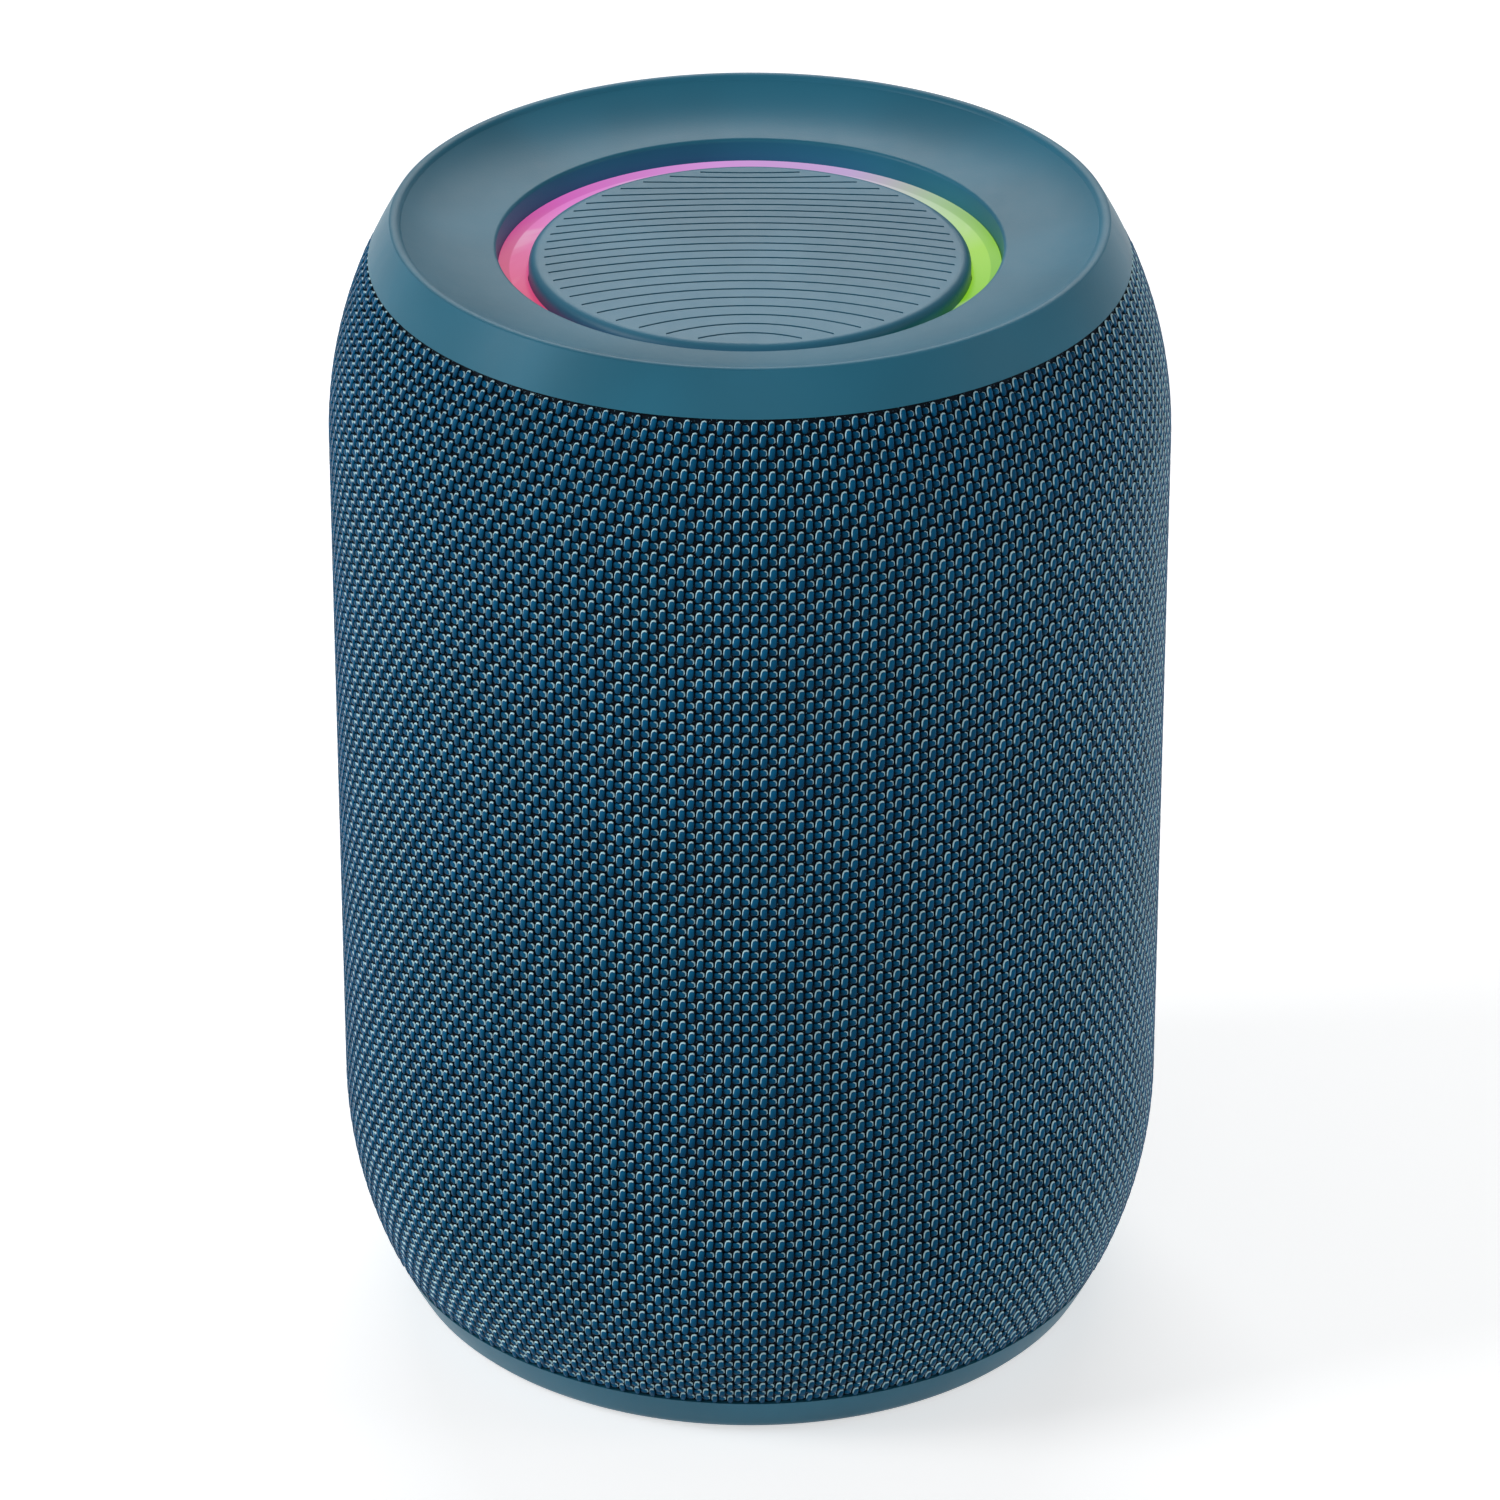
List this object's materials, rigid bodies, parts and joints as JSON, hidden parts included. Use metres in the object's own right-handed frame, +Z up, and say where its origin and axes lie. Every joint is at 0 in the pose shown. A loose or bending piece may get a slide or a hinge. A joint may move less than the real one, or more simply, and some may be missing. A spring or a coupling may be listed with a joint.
{
  "type": "portable bluetooth speaker",
  "caption": "Upright barrel-shaped portable speaker with woven cloth sides, trim rings, a sunk light ring and a grooved disc on top, and rear push buttons.",
  "frame": {"origin": "centre of the face that the speaker stands on", "axes": "+Z up, front towards -Y, control strip towards +Y, +X to the viewer's right"},
  "size_m": [0.0944, 0.0944, 0.1344],
  "materials": {
    "trim": "teal-blue moulded plastic with a fine metallic glint",
    "cloth": "deep blue woven grille cloth",
    "black_plastic": "black moulded plastic",
    "diffuser": "milky diffuser plastic, lit from below",
    "disc": "grey-blue satin plastic with metallic glint",
    "white_plastic": "white moulded plastic",
    "circuit_board": "circuit board with green mask",
    "lamp": "small light-emitting parts",
    "rubber": "dark rubber",
    "base_plastic": "dark teal moulded plastic",
    "chip": "moulded chips, switches and capacitors",
    "steel": "plated steel",
    "magnet": "ferrite magnet",
    "copper": "enamelled copper coil",
    "cone": "coated cone",
    "spider": "resin-treated cloth",
    "radiator_disc": "stiff weighted disc",
    "battery": "lithium cells in shrink sleeve",
    "panel": "soft-touch rubber in a dark teal",
    "button": "soft-touch rubber in teal",
    "screw": "black-plated steel screws"
  },
  "bodies": {
    "speaker": {"top_ring": "trim", "base_ring": "trim", "fabric_sleeve": "cloth", "grille_cage": "black_plastic", "light_ring": "diffuser", "top_disc": "disc", "top_deck": "white_plastic", "light_board": "circuit_board", "leds": "lamp", "enclosure": "black_plastic", "enclosure_lid": "black_plastic", "lid_gasket": "rubber", "bottom_cover": "base_plastic", "foot_ring": "rubber", "main_board": "circuit_board", "board_parts": "chip", "driver_gasket": "rubber", "driver_frame": "steel", "driver_plate": "steel", "driver_magnet": "magnet", "driver_yoke": "steel", "driver_surround": "rubber", "driver_spider": "spider", "right_radiator_frame": "black_plastic", "right_radiator_surround": "rubber", "left_radiator_frame": "black_plastic", "left_radiator_surround": "rubber", "battery_cells": "battery", "battery_holder": "black_plastic", "control_panel": "panel", "switch_board": "circuit_board", "tact_switches": "chip", "usb_port": "steel", "deck_screws": "screw", "lid_screws": "screw", "base_screws": "screw", "driver_screws": "screw"},
    "mode_button": {"mode_button": "button"},
    "minus_button": {"minus_button": "button"},
    "play_button": {"play_button": "button"},
    "plus_button": {"plus_button": "button"},
    "power_button": {"power_button": "button"},
    "port_flap": {"port_flap": "panel"},
    "cone": {"driver_cone": "cone", "dust_cap": "cone", "voice_coil": "copper"},
    "right_radiator": {"right_radiator": "radiator_disc"},
    "left_radiator": {"left_radiator": "radiator_disc"}
  },
  "joints": [
    {"name": "mode_button_press", "type": "slide", "parent": "speaker", "child": "mode_button", "axis": [0, -1, 0], "range_m": [0, 0.0006], "stiffness_N_per_m": 1200},
    {"name": "minus_button_press", "type": "slide", "parent": "speaker", "child": "minus_button", "axis": [0, -1, 0], "range_m": [0, 0.0006], "stiffness_N_per_m": 1200},
    {"name": "play_button_press", "type": "slide", "parent": "speaker", "child": "play_button", "axis": [0, -1, 0], "range_m": [0, 0.0006], "stiffness_N_per_m": 1200},
    {"name": "plus_button_press", "type": "slide", "parent": "speaker", "child": "plus_button", "axis": [0, -1, 0], "range_m": [0, 0.0006], "stiffness_N_per_m": 1200},
    {"name": "power_button_press", "type": "slide", "parent": "speaker", "child": "power_button", "axis": [0, -1, 0], "range_m": [0, 0.0006], "stiffness_N_per_m": 1200},
    {"name": "port_flap_hinge", "type": "hinge", "parent": "speaker", "child": "port_flap", "pos_m": [0, 0.046, 0.03375], "axis": [-1, 0, 0], "range_deg": [0, 100]},
    {"name": "cone_slide", "type": "slide", "parent": "speaker", "child": "cone", "axis": [0, -1, 0], "range_m": [-0.0015, 0.0015], "stiffness_N_per_m": 900, "deforming": ["driver_surround", "driver_spider"]},
    {"name": "right_radiator_slide", "type": "slide", "parent": "speaker", "child": "right_radiator", "axis": [1, 0, 0], "range_m": [-0.0015, 0.0015], "stiffness_N_per_m": 700, "deforming": ["right_radiator_surround"]},
    {"name": "left_radiator_slide", "type": "slide", "parent": "speaker", "child": "left_radiator", "axis": [-1, 0, 0], "range_m": [-0.0015, 0.0015], "stiffness_N_per_m": 700, "deforming": ["left_radiator_surround"]}
  ]
}
